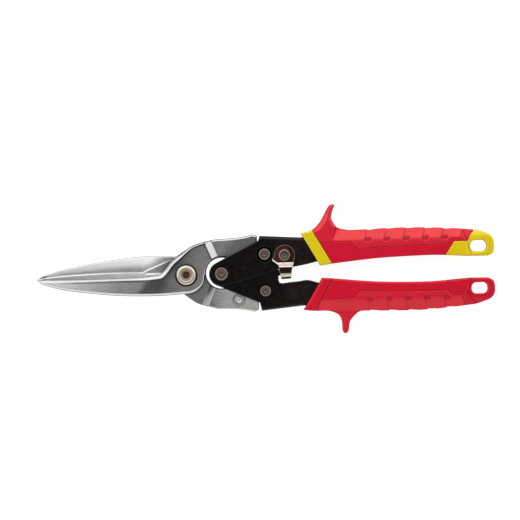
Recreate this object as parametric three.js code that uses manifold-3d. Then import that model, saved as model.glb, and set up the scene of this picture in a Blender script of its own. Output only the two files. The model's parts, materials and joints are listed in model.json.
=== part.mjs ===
// Compound-leverage aviation snips, straight cut, closed, lying flat.
//
// Millimetres. X runs along the tool, jaws towards -X and handles towards +X. +Z is up, along every
// pivot axis. The origin is on the main pivot's axis, at the end face of the pivot bolt, which is one of
// the places that the snips rest on. Inside the group below, z = 0 is the plane where the blades meet.
//
// Four bars make the leverage. The two blades cross at the main pivot. The two handles cross at the
// handle pivot. Each handle is riveted to the tail of one blade, so that opening the handles opens the
// jaws by about half as much.

import * as THREE from "three";
import { mergeVertices } from "three/addons/utils/BufferGeometryUtils.js";
import Module from "manifold-3d";

const wasm = await Module();
wasm.setup();

// ---- Driving dimensions ----------------------------------------------------------------------------

const gap = 0.3; // between pieces that touch
const round = 24; // sides of a round piece
const restHeight = 10; // blade plane above the surface that the snips lie on

// Pivots, seen from above.
const handlePivot = [23.9, 0];
const link = [53.5, 12.5]; // upper handle to front blade; the lower one is its mirror image
const latchPivot = [67, 11.5];

// Blades.
const bladeFace = 0.15; // each blade's inner face from the blade plane
const bladeBack = 6.15; // each blade's outer face
const tipBack = 2.6; // outer face at the jaw's tip
const tailHalf = 2.6; // half the thickness of the tails, which lie in the handles' channels
const hubRadius = 12.8;
const gapRadius = 10.5; // the blades' clearance round the handle pivot
const gapAside = 0.6; // how far its centre lies towards the front blade's tail
const eyeRadius = 6.8; // tail round its link rivet
const jawTip = -101.3;

// Main pivot.
const boltRadius = 4;
const headRadius = 6.65;
const washerRadius = 7.2;
const socketAcrossFlats = 4.8;
const nutAcrossFlats = 13;

// Handles, stamped from sheet as channels. The upper one straddles the lower one.
const sheet = 2.1;
const lowerWall = 2.9; // inner face of the lower handle's side walls
const upperWall = lowerWall + sheet + gap;
const tongueRadius = 8.35;
const tangEnd = 168; // the channels end inside the grips

// Grips.
const gripHalf = restHeight; // half the thickness
const loopHalf = 6.4;
const lugHalf = 7;
const holeLength = 11.2;
const holeWidth = 7.6;
const loopEnd = 209.5;

// Latch.
const latchRadius = 7;
const latchSheet = 1.2;
const latchBase = upperWall + sheet + gap;

// Torsion spring.
const wireRadius = 0.75;
const coilRadius = 5;
const coilTurns = 2.5;
const coilPitch = 1.56;

// ---- Finishes --------------------------------------------------------------------------------------

function finish(color, roughness, metalness) {
  return new THREE.MeshStandardMaterial({ color, roughness, metalness });
}

const bladeSteel = () => finish(0x77737a, 0.35, 1);
const blackSteel = () => finish(0x1b1716, 0.4, 0.3);
const rivetSteel = () => finish(0x807370, 0.35, 1);
const nickel = () => finish(0xd2c8b4, 0.25, 1);
const springSteel = () => finish(0x8c8a86, 0.35, 1);
const redGrip = () => finish(0xc01c2c, 0.5, 0);
const softRed = () => finish(0xd0303a, 0.65, 0);
const yellowGrip = () => finish(0xd6c81a, 0.5, 0);

// ---- Solids ----------------------------------------------------------------------------------------

function solidOf(geometry) {
  const plain = geometry.clone();
  for (const name of ["normal", "uv"]) plain.deleteAttribute(name);
  const merged = mergeVertices(plain, 1e-4);
  const vertProperties = new Float32Array(merged.attributes.position.array);
  const triVerts = new Uint32Array(merged.index.array);
  return new wasm.Manifold(new wasm.Mesh({ numProp: 3, vertProperties, triVerts }));
}

function meshOf(name, solid, material) {
  const { vertProperties, triVerts } = solid.getMesh();
  const geometry = new THREE.BufferGeometry();
  geometry.setAttribute("position", new THREE.BufferAttribute(vertProperties, 3));
  geometry.setIndex(new THREE.BufferAttribute(triVerts, 1));
  geometry.computeVertexNormals();
  const mesh = new THREE.Mesh(geometry, material);
  mesh.name = name;
  return mesh;
}

// A flat outline, extruded from z = low to z = high.
function plate(shape, low, high, curveSegments = 6) {
  const geometry = new THREE.ExtrudeGeometry(shape, {
    depth: high - low,
    bevelEnabled: false,
    curveSegments,
  });
  return solidOf(geometry.translate(0, 0, low));
}

// A side view in X and Z, extruded across the whole width in Y.
function sideProfile(points) {
  const reach = 60;
  const shape = new THREE.Shape(points.map(([x, z]) => new THREE.Vector2(x, z)));
  const geometry = new THREE.ExtrudeGeometry(shape, { depth: 2 * reach, bevelEnabled: false });
  geometry.rotateX(Math.PI / 2).translate(0, reach, 0);
  return solidOf(geometry);
}

// A disc or cylinder about an axis along Z.
function post([x, y], radius, low, high, segments = round) {
  const geometry = new THREE.CylinderGeometry(radius, radius, high - low, segments);
  geometry.rotateX(Math.PI / 2).translate(x, y, (low + high) / 2);
  return solidOf(geometry);
}

function hexPost([x, y], acrossFlats, low, high) {
  return post([x, y], acrossFlats / Math.sqrt(3), low, high, 6);
}

// A head with a rounded rim, turned about an axis along Z. Its flat side is at base, and height is
// negative for a head that faces down.
function head([x, y], radius, base, height) {
  const rim = 0.35 * Math.abs(height);
  const points = [new THREE.Vector2(0, 0), new THREE.Vector2(radius, 0)];
  for (let i = 0; i <= 2; i += 1) {
    const turn = (i / 2) * (Math.PI / 2);
    const out = radius - rim + rim * Math.cos(turn);
    points.push(new THREE.Vector2(out, Math.abs(height) - rim + rim * Math.sin(turn)));
  }
  points.push(new THREE.Vector2(0, Math.abs(height)));
  const geometry = new THREE.LatheGeometry(points, round);
  geometry.rotateX(height > 0 ? Math.PI / 2 : -Math.PI / 2).translate(x, y, base);
  return solidOf(geometry);
}

// A shape through corners, where each corner is [x, y, radius].
function roundedShape(corners) {
  const shape = new THREE.Shape();
  corners.forEach(([x, y, radius = 0], i) => {
    const at = new THREE.Vector2(x, y);
    const before = new THREE.Vector2(...corners.at(i - 1));
    const after = new THREE.Vector2(...corners[(i + 1) % corners.length]);
    const start = before.sub(at).setLength(radius).add(at);
    const end = after.sub(at).setLength(radius).add(at);
    if (i === 0) shape.moveTo(start.x, start.y);
    else shape.lineTo(start.x, start.y);
    if (radius > 0) shape.quadraticCurveTo(at.x, at.y, end.x, end.y);
  });
  shape.closePath();
  return shape;
}

const vectors = (points) => points.map(([x, y]) => new THREE.Vector2(x, y));

// The piece seen in a mirror that stands along X, which turns an upper piece into a lower one.
function mirrored(solid) {
  return solid.scale([1, -1, 1]);
}

// ---- Blades ----------------------------------------------------------------------------------------

// A blade as seen from its outer side, with its tail above the axis: the cutting edge from the tip, the
// neck, the tail, the clearance round the handle pivot, the hub, and the back of the jaw to the tip.
function bladeShape(edge, neck, aside, back) {
  const degrees = Math.PI / 180;
  const shape = new THREE.Shape();
  shape.moveTo(...edge[0]);
  shape.splineThru(vectors(edge.slice(1)));
  shape.splineThru(vectors(neck));
  shape.splineThru(vectors([[33, 24.2], [41.3, 25.3], [45.5, 26.4]]));
  shape.lineTo(48.7, 25.4);
  shape.lineTo(48.7, 18.2);
  shape.absarc(...link, eyeRadius, 120 * degrees, -105 * degrees, true);
  shape.absarc(handlePivot[0], aside, gapRadius, 50 * degrees, 172 * degrees, false);
  shape.absarc(0, 0, hubRadius, 7 * degrees, -95 * degrees, true);
  shape.splineThru(vectors(back));
  shape.closePath();
  return shape;
}

// Thick at the jaw and the hub, then set over so that the tail is central.
function bladeSide() {
  const tailEnd = link[0] + eyeRadius + 1;
  return sideProfile([
    [jawTip - 2, bladeFace],
    [13.5, bladeFace],
    [16.5, -tailHalf],
    [tailEnd, -tailHalf],
    [tailEnd, tailHalf],
    [20.5, tailHalf],
    [15.5, bladeBack],
    [-22, bladeBack],
    [jawTip - 2, tipBack],
  ]);
}

function blade(shape, bore) {
  return plate(shape, -tailHalf, bladeBack)
    .intersect(bladeSide())
    .subtract(post([0, 0], bore, -bladeBack, 2 * bladeBack))
    .subtract(post(link, 2.5 + gap, -bladeBack, bladeBack));
}

// Lower jaw and upper tail, on top.
function frontBlade() {
  const edge = [[jawTip + 0.4, -0.3], [-80, -0.8], [-65, -0.9], [-35, -0.6], [-20, 0.6], [-16.8, 1.9]];
  const neck = [[-14.1, 5], [-11.9, 8], [-8.9, 11], [-4.9, 14], [1.3, 18], [5, 20], [11.3, 22], [20.9, 23.8]];
  const back = [
    [-20.7, -13.6], [-44.8, -12.8], [-69.7, -10], [-86.1, -7.2], [-98.3, -3.4], [jawTip + 0.4, -1.3],
  ];
  return blade(bladeShape(edge, neck, gapAside, back), boltRadius + gap);
}

// Upper jaw and lower tail, underneath: drawn like the front blade, then turned over about X.
function rearBlade() {
  const edge = [[jawTip - 0.3, 1.2], [-66, 3.3], [-35, 3.3], [-17, 3.3], [-11, 5]];
  const neck = [[-3.5, 11.7], [3, 17], [8.5, 20.2], [20.9, 23.8]];
  const back = [
    [-24.3, -13.8], [-44.8, -12.4], [-69.4, -9.1], [-85.8, -6.2], [-98.2, -2.5], [jawTip - 0.3, 0.2],
  ];
  return blade(bladeShape(edge, neck, -gapAside, back), boltRadius + gap + 0.15).rotate([180, 0, 0]);
}

// ---- Main pivot ------------------------------------------------------------------------------------

const washerThick = 0.9;
const headBase = bladeBack + washerThick + 0.1;
const headTop = headBase + 2.6;
const nutBottom = -restHeight + 0.3;

function pivotBolt() {
  return head([0, 0], headRadius, headBase, headTop - headBase)
    .add(post([0, 0], boltRadius, -restHeight, headBase + 0.5))
    .subtract(post([0, 0], 4.2, headTop - 0.5, headTop + 1))
    .subtract(hexPost([0, 0], socketAcrossFlats, headTop - 2.4, headTop + 1));
}

function pivotNut() {
  return hexPost([0, 0], nutAcrossFlats, nutBottom, -headBase)
    .subtract(post([0, 0], boltRadius + gap, -restHeight, 0));
}

function washer(at, outer, inner, low, thick) {
  return post(at, outer, low, low + thick).subtract(post(at, inner, low - 1, low + thick + 1));
}

function boltWasher(low) {
  return washer([0, 0], washerRadius, boltRadius + gap, low, washerThick);
}

// ---- Handle channels -------------------------------------------------------------------------------

// The stretch of channel inside the grip, widened by grow for the pocket that holds it.
function tangCorners(grow) {
  return [
    [tangEnd + grow, 12.5 - grow],
    [tangEnd + grow, 19.5 + grow],
    [79.2, 23.2 + grow],
  ];
}

// Two side walls and the web that joins them along their outer edge.
function channel(shape, webShape, inner) {
  const outer = inner + sheet;
  return plate(shape, inner, outer)
    .add(plate(shape, -outer, -inner))
    .add(plate(webShape, -outer, outer));
}

// The web follows the outer edge, and starts behind the blade's tail.
function webShape(front) {
  const [, tangTop, webTop] = tangCorners(0);
  return roundedShape([
    [front[0], front[1] - sheet],
    [webTop[0], webTop[1] - sheet],
    [tangTop[0], tangTop[1] - sheet],
    tangTop,
    webTop,
    front,
  ]);
}

function throughHoles(holes, reach) {
  return holes
    .map(([at, radius]) => post(at, radius, -reach, reach))
    .reduce((all, hole) => all.add(hole));
}

function upperChannel() {
  const shape = new THREE.Shape();
  shape.absarc(...handlePivot, tongueRadius, (270 * Math.PI) / 180, (118 * Math.PI) / 180, true);
  shape.lineTo(49.4, 21.9);
  shape.lineTo(50.4, 25.15);
  const [end, top, webTop] = tangCorners(0);
  for (const corner of [webTop, top, end]) shape.lineTo(...corner);
  for (const corner of [[95, 9], [88.4, 6.3], [72.4, 3.3], [62.6, 1.8], [42.3, -3.8]]) shape.lineTo(...corner);
  shape.closePath();
  const outer = upperWall + sheet;
  const nearDimple = post(link, 5.5, lowerWall, upperWall + 0.5);
  const dimple = nearDimple.add(post(link, 5.5, -upperWall - 0.5, -lowerWall));
  const recess = post(link, 4.9, outer - 1.3, outer + 1).add(post(link, 4.9, -outer - 1, 1.3 - outer));
  return channel(shape, webShape([50.4, 25.15]), upperWall)
    .add(dimple)
    .subtract(recess)
    .subtract(throughHoles([[handlePivot, 2.6 + gap], [link, 2.2 + gap]], outer + 1))
    .subtract(post(latchPivot, 2 + gap, 0, outer + 1));
}

// Drawn mirrored, with its web on top. The near wall has the tooth that the latch hooks under.
function lowerChannel() {
  const shape = new THREE.Shape();
  shape.absarc(...handlePivot, tongueRadius, (280 * Math.PI) / 180, (112 * Math.PI) / 180, true);
  shape.lineTo(49.4, 20.3);
  shape.lineTo(50.6, 25.9);
  const [end, top, webTop] = tangCorners(0);
  for (const corner of [webTop, top, end]) shape.lineTo(...corner);
  const notch = [[95, 9], [89.6, 7.9], [82.7, 5.9], [77.1, 6.4], [64.8, 7.5], [62.9, 6.4]];
  const tooth = [[62.5, 2.5], [64.1, 1.9], [63.3, -1.5], [40, -5.6]];
  for (const corner of [...notch, ...tooth]) shape.lineTo(...corner);
  shape.closePath();
  const outer = lowerWall + sheet;
  return mirrored(
    channel(shape, webShape([50.6, 25.9]), lowerWall)
      .subtract(throughHoles([[handlePivot, 2.6 + gap], [link, 2.2 + gap]], outer + 1)),
  );
}

// A rivet with a head on each side, from one outer face to the other.
function rivet(at, shank, headRadius, face, headHeight) {
  return post(at, shank, -face - 0.2, face + 0.2)
    .add(head(at, headRadius, face, headHeight))
    .add(head(at, headRadius, -face, -headHeight));
}

const handleRivet = () => rivet(handlePivot, 2.6, 4.4, upperWall + sheet + 0.1, 1.5);
const upperLinkRivet = () => rivet(link, 2.2, 3.9, upperWall + sheet - 1.2, 1.5);
const lowerLinkRivet = () => mirrored(rivet(link, 2.2, 3.65, lowerWall + sheet + 0.1, 1.4));

function handleBushing() {
  const half = lowerWall - 0.2;
  return washer(handlePivot, 3.9, 2.6 + gap, -half, 2 * half);
}

// ---- Latch -----------------------------------------------------------------------------------------

// A disc on its rivet, a thumb pad over the gap between the handles, and a lip bent down from the pad.
function latchPlate() {
  const pad = roundedShape([[64.3, -4], [71.1, -3.7], [72.4, 3.3], [73.8, 9.5], [60.2, 9.5], [63, 3.2]]);
  const lip = roundedShape([[64.3, -4], [71.1, -3.7], [71.1, -2.5], [64.3, -2.8]]);
  const top = latchBase + latchSheet;
  return post(latchPivot, latchRadius, latchBase, top)
    .add(plate(pad, latchBase, top))
    .add(plate(lip, lowerWall + 0.3, top))
    .subtract(post(latchPivot, 2 + gap, 0, top + 1));
}

function latchRivet() {
  const top = latchBase + latchSheet + 0.1;
  return post(latchPivot, 2, upperWall - 0.3, top + 0.2)
    .add(head(latchPivot, 4, top, 1.3))
    .add(head(latchPivot, 3.4, upperWall - 0.1, -1.2));
}

// ---- Opening spring --------------------------------------------------------------------------------

// Wire coiled round the handle pivot's bushing, with one leg against the eye of each blade's tail.
class SpringPath extends THREE.Curve {
  getPoint(t, target = new THREE.Vector3()) {
    const legShare = 0.25;
    const start = Math.PI / 2;
    const turn = 2 * Math.PI * coilTurns;
    const rise = coilPitch * coilTurns;
    const onCoil = Math.min(Math.max((t - legShare) / (1 - 2 * legShare), 0), 1);
    const angle = start - 0.15 - (turn - 0.3) * onCoil;
    const z = rise * (onCoil - 0.5);
    target.set(handlePivot[0] + coilRadius * Math.cos(angle), coilRadius * Math.sin(angle), z);
    const out = Math.max(legShare - t, t - 1 + legShare, 0) / legShare;
    const tip = [51, (t < 0.5 ? 1 : -1) * 4.6];
    target.x += out * (tip[0] - target.x);
    target.y += out * (tip[1] - target.y);
    return target;
  }
}

function torsionSpring() {
  const section = new THREE.Shape();
  section.absarc(0, 0, wireRadius, 0, 2 * Math.PI, false);
  const geometry = new THREE.ExtrudeGeometry(section, {
    steps: 56,
    curveSegments: 3,
    extrudePath: new SpringPath(),
    bevelEnabled: false,
  });
  return solidOf(geometry);
}

// ---- Grips -----------------------------------------------------------------------------------------

// Height of a line through [x, y] points, smoothed between them.
function heightAlong(points, x) {
  const after = points.findIndex(([px]) => px >= x);
  if (after <= 0) return points.at(after < 0 ? -1 : 0)[1];
  const [[x0, y0], [x1, y1]] = [points[after - 1], points[after]];
  return THREE.MathUtils.lerp(y0, y1, THREE.MathUtils.smoothstep(x, x0, x1));
}

// The handle cover before it is divided: rounded sections between an outer and an inner line.
function gripBlank(outer, inner) {
  const stations = 26;
  const around = 20;
  const squareness = 0.62;
  const from = outer[0][0];
  const to = outer.at(-1)[0];
  const positions = [];
  const indices = [];
  for (let i = 0; i <= stations; i += 1) {
    const x = from + ((to - from) * i) / stations;
    const top = heightAlong(outer, x);
    const bottom = heightAlong(inner, x);
    for (let k = 0; k < around; k += 1) {
      const angle = (2 * Math.PI * (k + 0.5)) / around;
      const [c, s] = [Math.cos(angle), Math.sin(angle)];
      const z = gripHalf * Math.sign(c) * Math.abs(c) ** squareness;
      const y = (top + bottom) / 2 + ((top - bottom) / 2) * Math.sign(s) * Math.abs(s) ** squareness;
      positions.push(x, y, z);
    }
  }
  const ring = (i, k) => i * around + (k % around);
  for (let i = 0; i < stations; i += 1)
    for (let k = 0; k < around; k += 1) {
      indices.push(ring(i, k), ring(i + 1, k), ring(i, k + 1));
      indices.push(ring(i, k + 1), ring(i + 1, k), ring(i + 1, k + 1));
    }
  for (let k = 1; k < around - 1; k += 1) {
    indices.push(ring(0, 0), ring(0, k), ring(0, k + 1));
    indices.push(ring(stations, 0), ring(stations, k + 1), ring(stations, k));
  }
  const geometry = new THREE.BufferGeometry();
  geometry.setAttribute("position", new THREE.Float32BufferAttribute(positions, 3));
  geometry.setIndex(indices);
  const solid = solidOf(geometry);
  return solid.scale([1, 1, gripHalf / solid.boundingBox().max[2]]);
}

function tangPocket(inner) {
  const [end, top, front] = tangCorners(gap);
  const shape = roundedShape([[70, front[1] + 0.4], [70, 0], [88.4, 6.3 - gap], [95, 9 - gap], end, top, front]);
  return plate(shape, -inner - sheet - gap, inner + sheet + gap);
}

const region = (corners) => plate(roundedShape(corners), -20, 20);

// All four pieces of one cover, drawn as the upper one. The collar's band and the loop's joint are
// slanted, and seam is the line between the firm core and the soft outer shell.
function gripPieces({ outer, inner, seam, lug, hole, wall }) {
  const blank = gripBlank(outer, inner).subtract(tangPocket(wall));
  const collarRegion = region([[78.6, 27.5], [91.6, 3], [99.2, 3], [85.2, 29.5], [78.6, 29.5]]);
  const behindCollar = [[99.5 + gap, 3], [85.2 + gap, 29.5], [84, 50]];
  const loopLine = [[177.2, 2], [183.2, 17.4], [192, 17.4], [196.2, 34]];
  const rearOfGrip = loopLine.map(([x, y]) => [x - gap, y]);
  const body = [...behindCollar, [196.2, 50], ...rearOfGrip.toReversed()];
  const below = [[84, -2], ...seam, [205, 18.2], [205, -2]];
  const seamTop = seam.map(([x, y]) => [x, y + gap]);
  const above = [[84, 60], [84, seamTop[0][1]], ...seamTop, [205, 18.5], [205, 60]];
  const bodyRegion = region(body);
  const hookLug = plate(lug, -lugHalf, lugHalf, 4).subtract(tangPocket(wall));
  const loopShape = roundedShape([
    [186, 7.5, 1], [186, 25.6, 1], [199, 24.6, 5], [208.4, 21.6, 4], [loopEnd + 0.3, 12.5, 3], [207.8, 6.6, 3],
  ]);
  const slot = roundedShape([
    [hole[0] - holeLength / 2, hole[1] - holeWidth / 2, 3.2],
    [hole[0] + holeLength / 2, hole[1] - holeWidth / 2, 3.2],
    [hole[0] + holeLength / 2, hole[1] + holeWidth / 2, 3.2],
    [hole[0] - holeLength / 2, hole[1] + holeWidth / 2, 3.2],
  ]);
  const loopRegion = region([...loopLine, [215, 34], [215, 2]]);
  return {
    collar: blank.intersect(collarRegion),
    core: blank.intersect(bodyRegion).intersect(region(below)),
    shell: blank.intersect(bodyRegion).add(hookLug.intersect(bodyRegion)).intersect(region(above)),
    loop: blank.add(plate(loopShape, -loopHalf, loopHalf)).intersect(loopRegion).subtract(plate(slot, -20, 20)),
  };
}

// The upper finger guard is a hook that leans back, and the lower one is a straight spur.
function lugShape(front, back) {
  const shape = new THREE.Shape();
  shape.moveTo(front[0][0], 24);
  shape.lineTo(...front[0]);
  shape.splineThru(vectors(front.slice(1)));
  shape.splineThru(vectors(back));
  shape.lineTo(back.at(-1)[0], 24);
  shape.closePath();
  return shape;
}

const upperLug = () => lugShape(
  [[87, 28], [93.8, 36.7], [97.4, 43.1], [100.4, 44.8]],
  [[101.8, 43.5], [99.5, 38.2], [99.4, 34.8], [103.2, 29.1], [110, 27.1]],
);

const lowerLug = () => lugShape(
  [[94, 27.1], [102.4, 29.8], [104.6, 34.5], [104.9, 40.6], [107, 42.5]],
  [[109.1, 40.8], [109.7, 37], [112.2, 31.6], [121, 27.8]],
);

const seamLine = [[84, 19.6], [112.7, 19], [117.3, 14.3], [136.8, 15.3], [176.9, 15.6], [182.5, 18.2]];

function upperGrip() {
  return gripPieces({
    outer: [[77, 25.2], [86, 28.1], [111.5, 27.3], [143.3, 27.9], [182.1, 26.3], [194, 25.1]],
    inner: [[77, 3.4], [91, 3.6], [99.7, 4.6], [130.6, 7.4], [162, 8.3], [194, 7.1]],
    seam: seamLine,
    lug: upperLug(),
    hole: [198.8, 13.8],
    wall: upperWall,
  });
}

function lowerGrip() {
  return gripPieces({
    outer: [[77, 26], [87.5, 27.1], [96, 27.4], [123.6, 28], [156.1, 28.6], [182.2, 27], [194, 26]],
    inner: [[77, 4.6], [92.1, 4.7], [100, 5.3], [130.1, 8.3], [160.3, 9.3], [194, 7.9]],
    seam: seamLine,
    lug: lowerLug(),
    hole: [198.9, 14.8],
    wall: lowerWall,
  });
}

// ---- The snips -------------------------------------------------------------------------------------

const snips = new THREE.Group();
snips.position.z = restHeight;

snips.add(
  meshOf("front_blade", frontBlade(), bladeSteel()),
  meshOf("rear_blade", rearBlade(), bladeSteel()),
  meshOf("pivot_bolt", pivotBolt(), nickel()),
  meshOf("pivot_nut", pivotNut(), rivetSteel()),
  meshOf("head_washer", boltWasher(bladeBack + 0.05), blackSteel()),
  meshOf("nut_washer", boltWasher(-headBase + 0.05), blackSteel()),
  meshOf("upper_channel", upperChannel(), blackSteel()),
  meshOf("lower_channel", lowerChannel(), blackSteel()),
  meshOf("handle_rivet", handleRivet(), rivetSteel()),
  meshOf("handle_bushing", handleBushing(), rivetSteel()),
  meshOf("upper_link_rivet", upperLinkRivet(), rivetSteel()),
  meshOf("lower_link_rivet", lowerLinkRivet(), rivetSteel()),
  meshOf("torsion_spring", torsionSpring(), springSteel()),
  meshOf("latch_plate", latchPlate(), nickel()),
  meshOf("latch_rivet", latchRivet(), rivetSteel()),
);

const upper = upperGrip();
snips.add(
  meshOf("upper_collar", upper.collar, yellowGrip()),
  meshOf("upper_grip_core", upper.core, redGrip()),
  meshOf("upper_grip_shell", upper.shell, softRed()),
  meshOf("upper_loop", upper.loop, yellowGrip()),
);

const lower = lowerGrip();
snips.add(
  meshOf("lower_collar", mirrored(lower.collar), redGrip()),
  meshOf("lower_grip_core", mirrored(lower.core), redGrip()),
  meshOf("lower_grip_shell", mirrored(lower.shell), softRed()),
  meshOf("lower_loop", mirrored(lower.loop), redGrip()),
);

export default snips;
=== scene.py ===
"""Long-cut aviation snips: the looks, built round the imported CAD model.

The shapes are worked out in millimetres in the tool's own frame, with z = 0 where the blades meet, as
distance fields that are negative inside the material. surface() turns a field into a mesh in metres.
"""

import json
import math

import bpy
import numpy as np
import openvdb
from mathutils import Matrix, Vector


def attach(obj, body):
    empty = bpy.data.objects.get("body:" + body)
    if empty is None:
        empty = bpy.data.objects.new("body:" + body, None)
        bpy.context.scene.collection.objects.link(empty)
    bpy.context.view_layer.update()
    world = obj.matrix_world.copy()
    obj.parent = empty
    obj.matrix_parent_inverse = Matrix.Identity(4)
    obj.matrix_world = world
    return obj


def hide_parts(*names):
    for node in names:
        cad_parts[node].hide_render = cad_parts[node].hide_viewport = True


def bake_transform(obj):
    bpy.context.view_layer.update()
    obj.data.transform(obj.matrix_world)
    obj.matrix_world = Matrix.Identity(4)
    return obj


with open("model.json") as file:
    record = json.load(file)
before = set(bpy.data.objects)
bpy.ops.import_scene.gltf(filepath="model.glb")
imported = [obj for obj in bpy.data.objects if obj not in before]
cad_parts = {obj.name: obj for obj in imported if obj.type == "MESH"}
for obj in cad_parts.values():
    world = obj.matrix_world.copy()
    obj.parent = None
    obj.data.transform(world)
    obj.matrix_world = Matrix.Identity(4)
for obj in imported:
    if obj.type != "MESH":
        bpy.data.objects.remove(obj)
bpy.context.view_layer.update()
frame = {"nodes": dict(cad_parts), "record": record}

MM = 0.001
JOINTS = {j["name"]: np.array(j["pos_m"]) / MM for j in frame["record"]["behaviour"]["joints"]}
REST = JOINTS["handle_pivot"][2]  # the blade plane's height above the floor
HANDLE_PIVOT = JOINTS["handle_pivot"][:2]
LINK = JOINTS["upper_link"][:2]
LATCH_PIVOT = JOINTS["latch_swing"][:2]


# ---- Outlines --------------------------------------------


def spline(points, steps=8):
    """A smooth curve through points (Catmull-Rom)."""
    p = np.array([points[0], *points, points[-1]], float)
    t = np.linspace(0, 1, steps, endpoint=False)[:, None]
    curve = []
    for a, b, c, d in zip(p, p[1:], p[2:], p[3:]):
        u, v = (c - a) / 2, (d - b) / 2
        curve.append((2 * b - 2 * c + u + v) * t**3 + (3 * c - 3 * b - 2 * u - v) * t**2 + u * t + b)
    return np.vstack([*curve, p[-1:]])


def arc(centre, radius, start, end, steps=28):
    """Points on an arc, with its angles in degrees."""
    angles = np.radians(np.linspace(start, end, steps))
    return np.array(centre) + radius * np.stack([np.cos(angles), np.sin(angles)], axis=1)


def joined(*runs):
    """One closed outline from several runs of points, without repeats."""
    points = np.vstack(runs)
    apart = np.linalg.norm(points - np.roll(points, 1, axis=0), axis=1) > 1e-4
    return points[apart]


def rounded(corners, steps=6):
    """A closed outline through corners, each [x, y, radius]."""
    runs = []
    places, radii = np.split(np.array(corners, float), [2], axis=1)
    before, after = (np.roll(places, shift, axis=0) for shift in (1, -1))
    for *neighbours, at, radius in zip(before, after, places, radii):
        start, end = (at + (to - at) * radius / np.linalg.norm(to - at) for to in neighbours)
        t = np.linspace(0, 1, steps)[:, None]
        runs.append((1 - t) ** 2 * start + 2 * t * (1 - t) * at + t**2 * end)
    return joined(*runs)


# ---- Distance fields -------------------------------------


class Grid:
    """A block of space that a field is worked out on. x and y spread over a flat array, z over depth."""

    def __init__(self, low, high, step):
        self.low, self.step = np.array(low), step
        x, y, z = (np.arange(a, b + step, step, dtype=np.float32) for a, b in zip(low, high))
        self.x, self.y, self.z = x[:, None], y[None, :], z[None, None, :]


class Spots:
    """A piece's vertices in its own drawing, for the functions that work over a grid's x and y."""

    def __init__(self, piece, flip=None):
        places = np.empty(3 * len(piece.data.vertices))
        piece.data.vertices.foreach_get("co", places)
        self.x, self.y, self.z = places.reshape(-1, 3).T / MM
        self.y = -self.y if flip else self.y
        self.z = (self.z - REST) * (-1 if flip == "x" else 1)


def darken(piece, amount):
    """Marks how much painted shade or painted dark reflection the piece has at each vertex, from 0 to 1."""
    marks = piece.data.attributes.new("dark", "FLOAT", "POINT")
    marks.data.foreach_set("value", np.clip(amount, 0, 1).astype(np.float32))


def deep(flat):
    return flat[:, :, None]


def line_distance(points, grid):
    """Distance to an open line."""
    nearest = np.inf
    for (ax, ay), (bx, by) in zip(points, points[1:]):
        ex, ey = bx - ax, by - ay
        along = np.clip(((grid.x - ax) * ex + (grid.y - ay) * ey) / (ex * ex + ey * ey), 0, 1)
        nearest = np.minimum(nearest, (grid.x - ax - along * ex) ** 2 + (grid.y - ay - along * ey) ** 2)
    return np.sqrt(nearest)


def outline_distance(points, grid):
    """Signed distance to a closed outline."""
    points = np.array(points, float)[:, :2]
    after = np.roll(points, -1, axis=0)
    inside = np.zeros(np.broadcast(grid.x, grid.y).shape, bool)
    for (ax, ay), (bx, by) in zip(points, after):
        if ay != by:
            crossed = (ay > grid.y) != (by > grid.y)
            inside ^= crossed & (grid.x < (bx - ax) * (grid.y - ay) / (by - ay) + ax)
    away = line_distance(np.vstack([points, points[:1]]), grid)
    return np.where(inside, -away, away).astype(np.float32)


def round_max(a, b, radius):
    """What two fields share, with the edge between them rounded."""
    outer = np.sqrt(np.maximum(a + radius, 0) ** 2 + np.maximum(b + radius, 0) ** 2)
    return np.minimum(np.maximum(a, b), -radius) + outer


def bevelled(a, b, width, trim, spare=0):
    """What two fields share. Over b's face a flat bevel runs in by width, and its outermost part, as wide
    as trim, falls away more steeply. spare is how much of that part is left off."""
    field = np.maximum(a, b)
    a = a - spare
    reach, fall = width, 0
    for tilt, end in ((35, trim), (62, 0)):
        lean, rise = math.sin(math.radians(tilt)), math.cos(math.radians(tilt))
        field = round_max(field, (a + reach) * lean + (b + fall) * rise, 0.08)
        fall = fall + (reach - end) * lean / rise
        reach = end
    return field


def smooth(start, end, value):
    """From 0 at start to 1 at end, with soft ends."""
    t = np.clip((value - start) / (end - start), 0, 1)
    return t * t * (3 - 2 * t)


def radial(grid, centre):
    return np.sqrt((grid.x - centre[0]) ** 2 + (grid.y - centre[1]) ** 2)


# ---- Meshes ----------------------------------------------

CRISP = math.radians(40)  # edges sharper than this stay sharp under smooth shading


def mesh_piece(name, points, faces, material, flip):
    """A smooth-shaded object from points in millimetres. flip turns the piece over: "y" mirrors it
    across the tool's axis, "x" turns it half round about that axis."""
    points = np.array(points, float)
    if flip:
        points[:, 1] *= -1
    if flip == "x":
        points[:, 2] *= -1
    points[:, 2] += REST
    mesh = bpy.data.meshes.new(name)
    mesh.from_pydata((points * MM).tolist(), [], [list(f) for f in faces])
    mesh.validate()
    piece = bpy.data.objects.new(name, mesh)
    bpy.context.scene.collection.objects.link(piece)
    mesh.materials.append(material)
    mesh.polygons.foreach_set("use_smooth", [True] * len(mesh.polygons))
    volume = sum(v.dot(n) * a for v, n, a in ((p.center, p.normal, p.area) for p in mesh.polygons))
    if volume < 0:
        mesh.flip_normals()
    return piece


def surface(name, grid, field, material, flip=None):
    """The mesh where the field is zero."""
    volume = openvdb.FloatGrid()
    volume.copyFromArray(np.ascontiguousarray(field, dtype=np.float32))
    points, triangles, quads = volume.convertToPolygons(isovalue=0.0, adaptivity=0.0)
    points = grid.low + points * grid.step
    return mesh_piece(name, points, [*triangles.tolist(), *quads.tolist()], material, flip)


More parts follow.
